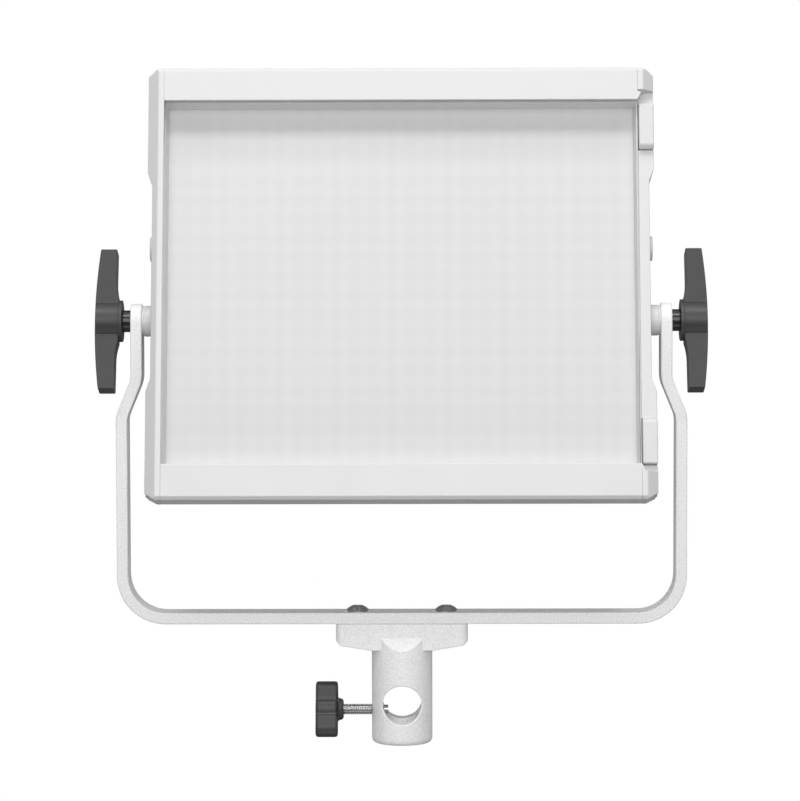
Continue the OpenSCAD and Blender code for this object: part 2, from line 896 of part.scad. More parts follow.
module vent_row(x0, pitch, count, z0, z1) {
    for (i = [0 : count - 1])
        block(x0 + i * pitch - 1.4, x0 + i * pitch + 1.4, shell_y - 4, shell_y + 1, z0, z1);
}

module rear_shell() {
    fan_slots = 11;
    color("whitesmoke") in_head() difference() {
        extrude_x(fit_gap - rail_x, rail_x - fit_gap) polygon(back_outline(shell_y, shell_inset));
        extrude_x(-rail_x - 1, rail_x + 1) polygon(concat(
            [[rail_back_y - 1, wall + shell_inset - head_bottom]],
            back_outline(shell_y - wall, wall + shell_inset),
            [[rail_back_y - 1, head_top - wall - shell_inset]]
        ));
        vent_row(-fan_slots * 2, 4.4, fan_slots, fan_z - 20, fan_z + 20);
        for (s = [-1, 1]) vent_row(s * 88 - 26, 5.2, 11, 96, 116);
        block(-57, 57, shell_y - 4, shell_y + 1, pod_z0 + 6, pod_z1 - 6);
        for (s = [-1, 1])
            block(
                s * battery_x - 7.2, s * battery_x + 7.2, shell_y - 4, shell_y + 1,
                release_z - 6.2, release_z + 6.2
            );
        for (p = rear_screw_spots)
            rod_y(p[0], p[1], shell_y - 4, shell_y + 1, screw_r + 0.1);
        for (p = pod_screw_spots)
            rod_y(p[0], p[1], shell_y - 4, shell_y + 1, 1.3);
    }
}

module pan_screw(x, z, y, length, r, head_r) {
    difference() {
        union() {
            rod_y(x, z, y - length, y + 0.5, r);
            rod_y(x, z, y, y + 1.5, head_r);
        }
        translate([x, y + 0.4, z]) rotate([-90, 0, 0]) cylinder(h = 2, r = 0.5 * head_r, $fn = 6);
    }
}

module rear_screws() {
    color("silver") in_head() for (p = rear_screw_spots)
        pan_screw(p[0], p[1], shell_y, shell_y - fin_y - 1, screw_r, screw_head_r);
}

// ---- control housing ----

module control_housing() {
    inner = pod_y - pod_wall;
    color("dimgray") in_head() difference() {
        union() {
            difference() {
                intersection() {
                    extrude_x(-pod_x, pod_x) polygon([
                        [shell_y, pod_z0], [pod_y - pod_bevel, pod_z0], [pod_y, pod_z0 + pod_bevel],
                        [pod_y, pod_z1 - pod_bevel], [pod_y - pod_bevel, pod_z1], [shell_y, pod_z1]
                    ]);
                    translate([0, 0, 2 * pod_z0]) linear_extrude(200) polygon([
                        [-pod_x, shell_y], [pod_x, shell_y], [pod_x, pod_y - pod_bevel],
                        [pod_x - pod_bevel, pod_y], [pod_bevel - pod_x, pod_y],
                        [-pod_x, pod_y - pod_bevel]
                    ]);
                }
                block(
                    2 - pod_x, pod_x - 2, shell_y - 1, inner, pod_z0 + 2, pod_z1 - 2
                );
            }
            for (p = pod_screw_spots) rod_y(p[0], p[1], shell_y, inner + eps, 3.4);
        }
        for (p = pod_screw_spots) {
            rod_y(p[0], p[1], shell_y - 1, pod_y + 1, 1.3);
            rod_y(p[0], p[1], pod_y - 1.7, pod_y + 1, 2.7);
        }
        for (x = dial_x) rod_y(x, dial_z, inner - 1, pod_y + 1, dial_shaft_r + fit_gap);
        for (z = button_z) rod_y(button_x, z, inner - 1, pod_y + 1, button_r + slide_gap);
        block(
            -display_w / 2 - 4, display_w / 2 - 4, inner - 1, pod_y + 1,
            display_z - display_h / 2, display_z + display_h / 2
        );
        block(
            switch_x - switch_w / 2 + 1, switch_x + switch_w / 2 - 1, inner - 1, pod_y + 1,
            switch_z - switch_h / 2 + 1, switch_z + switch_h / 2 - 1
        );
        rod_y(inlet_x, inlet_z, inner - 1, pod_y + 1, inlet_r + fit_gap);
        block(usb_x - 4.6, usb_x + 4.6, inner - 1, pod_y + 1, usb_z - 1.8, usb_z + 1.8);
    }
}

module housing_screws() {
    color("silver") in_head() for (p = pod_screw_spots)
        pan_screw(p[0], p[1], pod_y - 1.7, 8.6, 1.2, 2.5);
}

module control_board() {
    color("seagreen") in_head()
        block(-38, 38, pod_board_y, pod_board_y + 1.4, pod_z0 + 7, pod_z1 - 7);
}

module encoders() {
    y = pod_board_y + 1.4;
    color("dimgray") in_head() for (x = dial_x) difference() {
        block(x - 5.5, x + 5.5, y, y + 2.6, dial_z - 6, dial_z + 6);
        rod_y(x, dial_z, y + 0.6, y + 3, dial_shaft_r + fit_gap);
    }
}

module display_window() {
    half_w = display_w / 2 - 0.1;
    half_h = display_h / 2 - 0.1;
    color("black") in_head() block(
        -half_w - 4, half_w - 4, pod_board_y + 1.4, pod_y - 0.2,
        display_z - half_h, display_z + half_h
    );
}

module dial(x) {
    ribs = 24;
    color("black") in_head() translate([x, 0, dial_z]) {
        difference() {
            rod_y(0, 0, pod_y + 0.4, dial_y1, dial_r);
            for (i = [0 : ribs - 1]) rotate([0, i * 360 / ribs, 0])
                block(-0.4, 0.4, pod_y + 2, dial_y1 + 1, dial_r - 0.4, dial_r + 1);
        }
        rod_y(0, 0, pod_board_y + 2.2, pod_y + 0.5, dial_shaft_r);
    }
}

module left_dial() { dial(dial_x[0]); }
module centre_dial() { dial(dial_x[1]); }
module right_dial() { dial(dial_x[2]); }

module button(z) {
    color("silver") in_head() {
        rod_y(button_x, z, button_y0, pod_y + 1.2, button_r);
        rod_y(button_x, z, pod_y - pod_wall - 1.2, pod_y - pod_wall - 0.2, button_r + 0.9);
    }
}

module upper_button() { button(button_z[0]); }
module middle_button() { button(button_z[1]); }
module lower_button() { button(button_z[2]); }

module switch_frame() {
    half_w = switch_w / 2;
    half_h = switch_h / 2;
    color("black") in_head() translate([switch_x, 0, switch_z]) difference() {
        union() {
            block(-half_w, half_w, pod_y, pod_y + 1.2, -half_h, half_h);
            block(1.1 - half_w, half_w - 1.1, 17.2, pod_y + 1, 1.1 - half_h, half_h - 1.1);
        }
        block(2 - half_w, half_w - 2, 19, pod_y + 2, 2.2 - half_h, half_h - 2.2);
    }
}

module power_rocker() {
    half_w = switch_w / 2 - 2.3;
    half_h = switch_h / 2 - 2.6;
    color("black") in_head() translate([switch_x, switch_pivot_y, switch_z]) rotate([8, 0, 0])
        extrude_x(-half_w, half_w) polygon([
            [-4.5, -3], [-4.5, 3], [1.2, half_h], [3.2, half_h], [2, 0], [3.2, -half_h],
            [1.2, -half_h]
        ]);
}

module power_inlet() {
    pin_r = 1.05;
    color("black") in_head() {
        difference() {
            union() {
                rod_y(inlet_x, inlet_z, 16.5, pod_y + 0.6, inlet_r);
                rod_y(inlet_x, inlet_z, pod_y, pod_y + 0.9, inlet_r + 1.6);
            }
            rod_y(inlet_x, inlet_z, pod_y - 8, pod_y + 1, inlet_bore_r);
        }
        rod_y(inlet_x, inlet_z, pod_y - 8.5, pod_y - 0.5, pin_r);
    }
}

module usb_port() {
    color("silver") in_head() translate([usb_x, 0, usb_z]) difference() {
        block(-4.5, 4.5, 18.4, pod_y, -1.7, 1.7);
        block(-4.1, 4.1, 19.4, pod_y + 1, -1.3, 1.3);
    }
}

// ---- battery plates ----

module battery_plate(side) {
    top = battery_z0 + battery_l;
    rail_y = 25;
    color("dimgray") in_head() translate([side * battery_x, 0, 0]) difference() {
        union() {
            block(-22, 22, shell_y, battery_y, battery_z0, top);
            for (s = [-1, 1]) on_side(s) {
                block(battery_rail_x, 22, battery_y - 1, rail_y, battery_z0, top);
                for (z = [battery_z0 + 20, battery_z0 + 46])
                    block(battery_rail_x - 2, battery_rail_x + 1, rail_y - 1.6, rail_y, z, z + 14);
            }
            block(-19, 19, battery_y - 1, rail_y - 1, top - 6, top);
            block(-7, 7, cup_y, shell_y + 1, release_z - 6, release_z + 6);
        }
        block(-4.8, 4.8, cup_floor_y, 30, release_z - 3.8, release_z + 3.8);
    }
}

module left_battery_plate() { battery_plate(-1); }
module right_battery_plate() { battery_plate(1); }

module battery_contacts() {
    z = battery_z0 + battery_l - 6;
    color("goldenrod") in_head() for (s = [-1, 1], x = [-12, 0, 12])
        block(s * battery_x + x - 0.5, s * battery_x + x + 0.5, battery_y, 23, z - 6, z);
}

module release(side) {
    color("silver") in_head() translate([side * battery_x, 0, release_z])
        block(-release_w / 2, release_w / 2, release_y0, release_y1, -release_h / 2, release_h / 2);
}

module left_release() { release(-1); }
module right_release() { release(1); }

module release_spring(side) {
    color("silver") in_head() translate([side * battery_x, 0, release_z])
        coil_spring(2.6, 0.3, release_y0 - cup_floor_y - 0.2, 3, cup_floor_y + 0.1);
}

module left_release_spring() { release_spring(-1); }
module right_release_spring() { release_spring(1); }

yoke_bracket();
stand_socket();
yoke_bolts();
clamp_tip();
clamp_screw();
clamp_knob();
top_rail();
bottom_rail();
left_end_cap();
right_end_cap();
end_cap_screws();
left_pivot_boss();
right_pivot_boss();
friction_washers();
side_plugs();
upper_latch();
lower_latch();
upper_latch_spring();
lower_latch_spring();
left_spacer();
right_spacer();
left_stud();
right_stud();
left_handle();
right_handle();
front_bezel();
diffuser();
light_box();
led_board();
led_chips();
heat_sink();
fan_frame();
fan_rotor();
driver_board();
driver_parts();
rear_shell();
rear_screws();
control_housing();
housing_screws();
control_board();
encoders();
display_window();
left_dial();
centre_dial();
right_dial();
upper_button();
middle_button();
lower_button();
switch_frame();
power_rocker();
power_inlet();
usb_port();
left_battery_plate();
right_battery_plate();
battery_contacts();
left_release();
right_release();
left_release_spring();
right_release_spring();
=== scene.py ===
import json
import math

import bmesh
import bpy
from mathutils import Matrix, Vector

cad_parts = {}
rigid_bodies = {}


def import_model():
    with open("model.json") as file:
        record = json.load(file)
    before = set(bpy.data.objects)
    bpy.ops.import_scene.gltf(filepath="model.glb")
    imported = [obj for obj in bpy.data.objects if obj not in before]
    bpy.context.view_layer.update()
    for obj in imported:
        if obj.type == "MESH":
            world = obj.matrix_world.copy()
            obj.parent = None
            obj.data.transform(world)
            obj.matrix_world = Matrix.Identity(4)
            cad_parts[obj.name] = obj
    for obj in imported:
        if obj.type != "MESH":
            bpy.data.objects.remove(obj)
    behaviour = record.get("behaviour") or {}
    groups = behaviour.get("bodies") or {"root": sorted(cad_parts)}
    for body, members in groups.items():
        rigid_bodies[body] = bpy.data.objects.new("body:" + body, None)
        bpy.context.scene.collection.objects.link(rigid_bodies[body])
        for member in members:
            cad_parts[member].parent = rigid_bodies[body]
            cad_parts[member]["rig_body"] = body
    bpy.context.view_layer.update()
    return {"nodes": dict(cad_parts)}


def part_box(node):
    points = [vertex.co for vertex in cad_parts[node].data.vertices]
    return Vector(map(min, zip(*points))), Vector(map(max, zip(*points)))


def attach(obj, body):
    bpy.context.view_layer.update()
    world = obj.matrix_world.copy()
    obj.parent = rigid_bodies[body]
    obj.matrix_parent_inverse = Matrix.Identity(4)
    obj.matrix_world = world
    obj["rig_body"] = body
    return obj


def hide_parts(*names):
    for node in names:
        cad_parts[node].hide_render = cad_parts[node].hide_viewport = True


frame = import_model()
nodes = frame["nodes"]
scene = bpy.context.scene

MM = 0.001
HEAD_LEAN = math.radians(13.0)
PIVOT_Z = sum(corner.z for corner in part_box("left_spacer")) / 2


# ---- material nodes ----

def new_material(name):
    """An empty node material with its Principled shader and object coordinates."""
    mat = bpy.data.materials.new(name)
    mat.use_nodes = True
    tree = mat.node_tree
    bsdf = tree.nodes["Principled BSDF"]
    coord = tree.nodes.new("ShaderNodeTexCoord").outputs["Object"]
    return mat, tree, bsdf, coord


def noise(tree, coord, scale, detail=3.0, rough=0.5):
    """Noise with features about 1/scale metres wide, from 0 to 1."""
    node = tree.nodes.new("ShaderNodeTexNoise")
    node.inputs["Scale"].default_value = scale
    node.inputs["Detail"].default_value = detail
    node.inputs["Roughness"].default_value = rough
    tree.links.new(coord, node.inputs["Vector"])
    return node.outputs["Fac"]


def remap(tree, value, low, high, from_low=0.3, from_high=0.7):
    """Maps a value to a range, clamped."""
    node = tree.nodes.new("ShaderNodeMapRange")
    node.inputs["From Min"].default_value = from_low
    node.inputs["From Max"].default_value = from_high
    node.inputs["To Min"].default_value = low
    node.inputs["To Max"].default_value = high
    tree.links.new(value, node.inputs["Value"])
    return node.outputs["Result"]


def maths(tree, operation, a, b):
    """One Math node. An operand is a socket or a number."""
    node = tree.nodes.new("ShaderNodeMath")
    node.operation = operation
    for socket, operand in zip(node.inputs, (a, b)):
        if isinstance(operand, (int, float)):
            socket.default_value = operand
        else:
            tree.links.new(operand, socket)
    return node.outputs[0]


def blend_colours(tree, factor, a, b):
    """Mixes two colours, each a socket or a tuple."""
    node = tree.nodes.new("ShaderNodeMix")
    node.data_type = "RGBA"
    tree.links.new(factor, node.inputs["Factor"])
    inputs = [s for s in node.inputs if s.type == "RGBA"]
    for socket, colour in zip(inputs, (a, b)):
        if isinstance(colour, tuple):
            socket.default_value = (*colour, 1.0)
        else:
            tree.links.new(colour, socket)
    return [s for s in node.outputs if s.type == "RGBA"][0]


def edge_mask(tree, radius):
    """About 1 along convex and concave edges and 0 on open faces."""
    bevel = tree.nodes.new("ShaderNodeBevel")
    bevel.samples = 4
    bevel.inputs["Radius"].default_value = radius
    geometry = tree.nodes.new("ShaderNodeNewGeometry")
    dot = tree.nodes.new("ShaderNodeVectorMath")
    dot.operation = "DOT_PRODUCT"
    tree.links.new(bevel.outputs["Normal"], dot.inputs[0])
    tree.links.new(geometry.outputs["Normal"], dot.inputs[1])
    return remap(tree, dot.outputs["Value"], 1.0, 0.0, 0.9, 0.995)


def bump(tree, bsdf, height, strength, distance):
    """Relief on the shader, with its height in metres."""
    node = tree.nodes.new("ShaderNodeBump")
    node.inputs["Strength"].default_value = strength
    node.inputs["Distance"].default_value = distance
    tree.links.new(height, node.inputs["Height"])
    tree.links.new(node.outputs["Normal"], bsdf.inputs["Normal"])


def grey(level):
    return (level, level, level)


def coated(name, base, darker, rough, grain_scale, grain_depth, grain_tone,
           edge_wear_and_highlight=None, edge_radius=0.0005):
    """Paint or moulded plastic: fine grain in colour and relief, slow tone drift, and
    edges painted a lighter tone where an edge tone is given: part wear, part painted highlight."""
    mat, tree, bsdf, coord = new_material(name)
    grain = noise(tree, coord, grain_scale, 4.0, 0.65)
    drift = noise(tree, coord, 18.0, 2.0)
    tone = blend_colours(tree, remap(tree, grain, 0.0, 1.0, 0.5 - grain_tone, 0.5 + grain_tone),
                         darker, base)
    colour = blend_colours(tree, remap(tree, drift, 0.0, 0.12), tone, darker)
    # lighter edges: part wear and part a painted highlight along every convex and concave edge
    if edge_wear_and_highlight:
        mask = maths(tree, "MULTIPLY", edge_mask(tree, edge_radius),
                     remap(tree, noise(tree, coord, 160.0), 0.25, 0.8))
        colour = blend_colours(tree, mask, colour, edge_wear_and_highlight)
    tree.links.new(colour, bsdf.inputs["Base Color"])
    smear = noise(tree, coord, 45.0, 4.0)
    tree.links.new(remap(tree, smear, rough - 0.04, rough + 0.05), bsdf.inputs["Roughness"])
    bump(tree, bsdf, grain, 0.5, grain_depth)
    return mat


def glossy(mat, level):
    """Sets how strongly a material mirrors its surroundings (0.5 is common plastic)."""
    mat.node_tree.nodes["Principled BSDF"].inputs["Specular IOR Level"].default_value = level
    return mat


def metal(name, base, darker, rough, scratch_scale, stretch):
    """Bare or plated metal with fine drawn marks along one axis."""
    mat, tree, bsdf, coord = new_material(name)
    mapping = tree.nodes.new("ShaderNodeMapping")
    mapping.inputs["Scale"].default_value = stretch
    tree.links.new(coord, mapping.inputs["Vector"])
    marks = noise(tree, mapping.outputs["Vector"], scratch_scale, 5.0, 0.6)
    stain = noise(tree, coord, 120.0, 3.0)
    tone = blend_colours(tree, remap(tree, stain, 0.0, 0.6), base, darker)
    tree.links.new(tone, bsdf.inputs["Base Color"])
    tree.links.new(remap(tree, marks, rough - 0.05, rough + 0.08), bsdf.inputs["Roughness"])
    bsdf.inputs["Metallic"].default_value = 1.0
    bump(tree, bsdf, marks, 0.15, 0.00002)
    return mat


def diffuser_material():
    """Opal sheet: the emitters behind it show as a very faint grid of lighter spots."""
    mat, tree, bsdf, coord = new_material("opal_sheet")
    columns, rows = 25, 19
    field_width, field_height = 267.6 * MM, 210.8 * MM
    rotate = tree.nodes.new("ShaderNodeMapping")
    rotate.inputs["Rotation"].default_value = (HEAD_LEAN, 0.0, 0.0)
    tree.links.new(coord, rotate.inputs["Vector"])
    split = tree.nodes.new("ShaderNodeSeparateXYZ")
    tree.links.new(rotate.outputs["Vector"], split.inputs[0])
    low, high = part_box("led_chips")
    centre = (low + high) / 2
    centre_up = centre.z * math.cos(HEAD_LEAN) + centre.y * math.sin(HEAD_LEAN)
    waves = []
    for axis, start, pitch in (("X", 0.0, field_width / columns),
                               ("Z", centre_up, field_height / rows)):
        offset = maths(tree, "SUBTRACT", split.outputs[axis], start)
        turn = maths(tree, "MULTIPLY", offset, 2 * math.pi / pitch)
        waves.append(maths(tree, "MULTIPLY", maths(tree, "COSINE", turn, 0.0), 0.25))
    spots = maths(tree, "ADD", *waves)
    cloud = noise(tree, coord, 14.0, 2.0)
    factor = maths(tree, "ADD", spots, remap(tree, cloud, 0.3, 0.7))
    colour = blend_colours(tree, factor, grey(0.64), grey(0.665))
    tree.links.new(colour, bsdf.inputs["Base Color"])
    fine = noise(tree, coord, 2600.0, 2.0)
    tree.links.new(remap(tree, fine, 0.5, 0.62), bsdf.inputs["Roughness"])
    bump(tree, bsdf, fine, 0.12, 0.00003)
    return mat


def board_material(name, mask_colour, trace_colour):
    """Circuit board: solder mask over squared tracks."""
    mat, tree, bsdf, coord = new_material(name)
    brick = tree.nodes.new("ShaderNodeTexBrick")
    brick.inputs["Scale"].default_value = 160.0
    brick.inputs["Mortar Size"].default_value = 0.03
    tree.links.new(coord, brick.inputs["Vector"])
    mask = blend_colours(tree, noise(tree, coord, 60.0), mask_colour,
                         tuple(0.8 * c for c in mask_colour))
    colour = blend_colours(tree, brick.outputs["Fac"], mask, trace_colour)
    tree.links.new(colour, bsdf.inputs["Base Color"])
    sheen = remap(tree, brick.outputs["Fac"], 0.35, 0.5, 0.0, 1.0)
    tree.links.new(sheen, bsdf.inputs["Roughness"])
    bump(tree, bsdf, brick.outputs["Fac"], 0.2, 0.00004)
    return mat


def glass_material():
    """Glossy dark cover of the display, with faint smudges."""
    mat, tree, bsdf, coord = new_material("display_cover")
    smudge = noise(tree, coord, 60.0, 4.0)
    colour = blend_colours(tree, remap(tree, smudge, 0.0, 0.4), grey(0.006), grey(0.012))
    tree.links.new(colour, bsdf.inputs["Base Color"])
    tree.links.new(remap(tree, smudge, 0.04, 0.12), bsdf.inputs["Roughness"])
    bump(tree, bsdf, smudge, 0.03, 0.00005)
    return mat


MATERIALS = {
    "silver_coat": coated("silver_powder_coat", grey(0.96), grey(0.73), 0.5,
                          1000.0, 0.00022, 0.2, grey(0.86), 0.0005),
    "white_coat": coated("white_satin_coat", grey(0.69), grey(0.66), 0.42,
                         1100.0, 0.00005, 0.25, grey(0.93), 0.0005),
    "white_plastic": coated("white_moulding", grey(0.68), grey(0.65), 0.48,
                            2400.0, 0.00005, 0.25, grey(0.9), 0.0004),
    "grip_plastic": glossy(coated("grip_moulding", grey(0.042), grey(0.036), 0.42,
                           3200.0, 0.00007, 0.25, grey(0.16), 0.0005), 0.45),
    "black_plastic": coated("black_moulding", grey(0.016), grey(0.012), 0.22,
                            3200.0, 0.00005, 0.25, grey(0.05), 0.0003),
    "housing_plastic": coated("housing_moulding", grey(0.07), grey(0.055), 0.5,
                              2200.0, 0.0001, 0.22, grey(0.12), 0.0004),
    "button_plastic": coated("button_moulding", grey(0.32), grey(0.27), 0.4,
                             2600.0, 0.00005, 0.25, grey(0.42), 0.0003),
    "zinc_steel": metal("zinc_plate", (0.62, 0.62, 0.61), (0.48, 0.48, 0.49), 0.28,
                        900.0, (0.15, 1.0, 1.0)),
    "chrome": metal("bright_chrome", (0.55, 0.56, 0.57), (0.42, 0.43, 0.45), 0.3,
                    600.0, (1.0, 1.0, 0.3)),
    "brass": metal("brass", (0.80, 0.60, 0.28), (0.62, 0.43, 0.18), 0.25,
                   900.0, (1.0, 1.0, 0.2)),
    "bare_aluminium": metal("bare_aluminium", (0.80, 0.80, 0.81), (0.66, 0.66, 0.68), 0.32,
                            500.0, (1.0, 1.0, 0.08)),
    "diffuser_acrylic": diffuser_material(),
    "circuit_board": board_material("green_board", (0.015, 0.11, 0.045), (0.03, 0.19, 0.08)),
    "led_board_white": board_material("white_board", (0.78, 0.78, 0.76), (0.86, 0.86, 0.84)),
    "led_phosphor": coated("phosphor", (0.85, 0.72, 0.22), (0.78, 0.62, 0.15), 0.35,
                           2000.0, 0.00003, 0.25),
    "display_glass": glass_material(),
}


# each CAD node takes the material of the slot that it came with
SLOT_OF = {name: obj.data.materials[0].name.split(".")[0] for name, obj in nodes.items()}
for name, obj in nodes.items():
    obj.data.materials[0] = MATERIALS[SLOT_OF[name]]


# ---- pieces ----

def finish_piece(obj, node):
    """Rides on the node's body, takes its material and slot, and stands for the node."""
    name = SLOT_OF[node]
    obj.data.materials.clear()
    obj.data.materials.append(MATERIALS[name])
    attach(obj, nodes[node]["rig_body"])
    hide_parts(node)


def new_object(name, bm, smooth_angle=35.0):
    """Object from a bmesh, smooth shaded with sharp edges over an angle."""
    bmesh.ops.recalc_face_normals(bm, faces=bm.faces)
    mesh = bpy.data.meshes.new(name)
    bm.to_mesh(mesh)
    bm.free()
    mesh.shade_smooth()
    mesh.set_sharp_from_angle(angle=math.radians(smooth_angle))
    obj = bpy.data.objects.new(name, mesh)
    scene.collection.objects.link(obj)
    return obj


def bmesh_of(mesh, weld=False):
    """The mesh with its flat faces in one piece each."""
    bm = bmesh.new()
    bm.from_mesh(mesh)
    if weld:
        bmesh.ops.remove_doubles(bm, verts=bm.verts, dist=1e-6)
    bmesh.ops.dissolve_limit(bm, angle_limit=math.radians(0.3), verts=bm.verts,
                             edges=bm.edges)
    return bm


def weighted_normals(obj):
    """Keeps the flat faces flat between rounded edges."""
    weighted = obj.modifiers.new("normals", "WEIGHTED_NORMAL")
    weighted.keep_sharp = True
    weighted.weight = 60


def round_edges(obj, width, segments=3):
    """Rounds every edge sharper than 28 degrees, to a width in millimetres."""
    bevel = obj.modifiers.new("edges", "BEVEL")
    bevel.width = width * MM
    bevel.segments = segments
    bevel.limit_method = "ANGLE"
    bevel.angle_limit = math.radians(28.0)
    bevel.use_clamp_overlap = False
    bevel.miter_outer = "MITER_ARC"
    bevel.harden_normals = False
    weighted_normals(obj)


def refined(node, width):
    """The node's own shape with its edges rounded."""
    obj = new_object(node + "_shape", bmesh_of(nodes[node].data, weld=True), 80.0)
    round_edges(obj, width)
    finish_piece(obj, node)


# the CAD nodes that get rounded edges, with the rounding in millimetres
ROUNDED = {
    "yoke_bracket": 0.7, "clamp_knob": 1.6, "left_spacer": 0.3, "right_spacer": 0.3,
    "left_pivot_boss": 0.6, "right_pivot_boss": 0.6, "side_plugs": 0.4,
    "top_rail": 0.35, "bottom_rail": 0.35, "left_end_cap": 0.5, "right_end_cap": 0.5,
    "upper_latch": 0.8, "lower_latch": 0.8, "front_bezel": 0.3,
    "left_release": 0.5, "right_release": 0.5, "upper_button": 0.4,
    "middle_button": 0.4, "lower_button": 0.4, "switch_frame": 0.3,
    "power_rocker": 0.4, "power_inlet": 0.2, "display_window": 0.25,
    "left_dial": 0.25, "centre_dial": 0.25, "right_dial": 0.25,
    "rear_screws": 0.2, "housing_screws": 0.2, "end_cap_screws": 0.2,
}


def skin(bm, loops):
    """Closed skin over a row of loops with the same number of points."""
    rings = [[bm.verts.new(point) for point in loop] for loop in loops]
    for ring, after in zip(rings, rings[1:]):
        for k in range(len(ring)):
            j = (k + 1) % len(ring)
            bm.faces.new((ring[k], ring[j], after[j], after[k]))
    bm.faces.new(rings[0][::-1])
    bm.faces.new(rings[-1])


def fillet(points, radii, steps=4):
    """Rounds the inner corners of an open 2-D line."""
    out = [points[0]]
    for before, corner, after, radius in zip(points, points[1:], points[2:], radii):
        if not radius:
            out.append(corner)
            continue
        here = Vector(corner)
        a, b = Vector(before) - here, Vector(after) - here
        cut = radius / math.tan(a.angle(b) / 2)
        start, end = here + a.normalized() * cut, here + b.normalized() * cut
        for i in range(steps + 1):
            t = i / steps
            out.append(tuple(start * (1 - t) ** 2 + here * 2 * t * (1 - t) + end * t * t))
    out.append(points[-1])
    return out


def full_turn(count=96):
    """Evenly spaced angles round a circle."""
    return [2 * math.pi * k / count for k in range(count)]


def lathe(bm, profile, place, segments=96):
    """Turned solid. place(along, a, b) puts a point in the scene."""
    turns = full_turn(segments)
    skin(bm, [[place(along, r * math.cos(t), r * math.sin(t)) for t in turns]
              for along, r in profile])


def upright(centre_x):
    """Placing for a solid turned about a vertical axis."""
    return lambda along, a, b: (centre_x + a, b, along)


def prism(bm, outline, start, end, place):
    """Outline of (a, b) points, extruded between two places along the third axis."""
    skin(bm, [[place(start, a, b) for a, b in outline], [place(end, a, b) for a, b in outline]])


def in_metres(bm):
    """Scales a bmesh built in millimetres."""
    bmesh.ops.scale(bm, verts=bm.verts, vec=(MM, MM, MM))
    return bm


def temporary(build):
    """Object from a function that fills a bmesh in millimetres."""
    bm = bmesh.new()
    build(bm)
    return new_object("temporary", in_metres(bm))


def evaluated_mesh(obj):
    """The object's mesh with its modifiers applied. The object is removed."""
    graph = bpy.context.evaluated_depsgraph_get()
    mesh = bpy.data.meshes.new_from_object(obj.evaluated_get(graph))
    bpy.data.objects.remove(obj)
    return mesh


def cut_by(obj, cutters, operation="DIFFERENCE"):
    """The object's mesh after a boolean with each cutter. All the objects are removed."""
    for cutter in cutters:
        modifier = obj.modifiers.new("cut", "BOOLEAN")
        modifier.operation = operation
        modifier.solver = "EXACT"
        modifier.object = cutter
    mesh = evaluated_mesh(obj)
    for cutter in cutters:
        bpy.data.objects.remove(cutter)
    return mesh


def joined(name, meshes, smooth_angle):
    """One object from several closed meshes."""
    bm = bmesh.new()
    for mesh in meshes:
        if "custom_normal" in mesh.attributes:
            mesh.attributes.remove(mesh.attributes["custom_normal"])
        bm.from_mesh(mesh)
    obj = new_object(name, bm, smooth_angle)
    weighted_normals(obj)
    return obj


# placings for a solid extruded along each axis
def along_x(along, a, b):
    return (along, a, b)


def along_y(along, a, b):
    return (a, along, b)


def along_z(along, a, b):
    return (a, b, along)


def sloped_cut(side, front, face_z, top):
    """Cutter for the sloped face on one side of the post, and for the post above it."""
    slope_run, slope_drop, clear, reach = 5.8, 8.5, 25.0, 30.0
    behind = front - 0.6
    outline = [(side * (front + slope_run), face_z - slope_drop), (side * front, face_z),
               (side * behind, face_z + 0.2), (side * behind, top + 2),
               (side * clear, top + 2), (side * clear, face_z - slope_drop)]
    return lambda bm: prism(bm, outline, -reach, reach, along_x)


def sight_cut(radius, sight_r, sight_z, chamfer):
    """Cutter for a hole through the post, with a chamfer that follows its round face."""
    def ring(r, depth_of):
        return [(r * math.cos(t), depth_of(r * math.cos(t)), sight_z + r * math.sin(t))
                for t in full_turn()]

    def face(depth):
        return lambda x: math.sqrt((radius - depth) ** 2 - x * x)

    outer, inner, wide, reach = face(0.0), face(chamfer), sight_r + chamfer, 30.0
    return lambda bm: skin(bm, [
        ring(wide, lambda x: -reach), ring(wide, lambda x: -outer(x)),
        ring(sight_r, lambda x: -inner(x)), ring(sight_r, inner),
        ring(wide, outer), ring(wide, lambda x: reach)])


def socket_post(radius, front, top):
    """Turned post with its bore, sight hole, screw hole and two sloped faces."""
    bore_r, bore_end, mouth_chamfer, edge_r = 8.2, 44.0, 1.0, 3.5
    sight_r, sight_z, sight_chamfer = 11.2, 23.6, 0.55
    screw_r, screw_z = 3.22, 19.1
    face_z, wall_z = 62.0, 6.0

    def turned(bm):
        mouth = [(bore_end, bore_r), (mouth_chamfer, bore_r), (0.0, bore_r + mouth_chamfer)]
        profile = fillet(mouth + [(0.0, radius), (wall_z, radius)], [0, 0, edge_r], 8)
        steps = 26
        profile += [(wall_z + (top - 0.5 - wall_z) * (i + 1) / steps, radius)
                    for i in range(steps)]
        lathe(bm, profile, upright(0.0), 144)

    def screw_cut(bm):
        lathe(bm, [(-30.0, screw_r), (0.0, screw_r)],
              lambda along, a, b: (along, a, screw_z + b), 48)

    cuts = (sloped_cut(-1, front, face_z, top), sloped_cut(1, front, face_z, top),
            sight_cut(radius, sight_r, sight_z, sight_chamfer), screw_cut)
    return cut_by(temporary(turned), [temporary(cut) for cut in cuts])


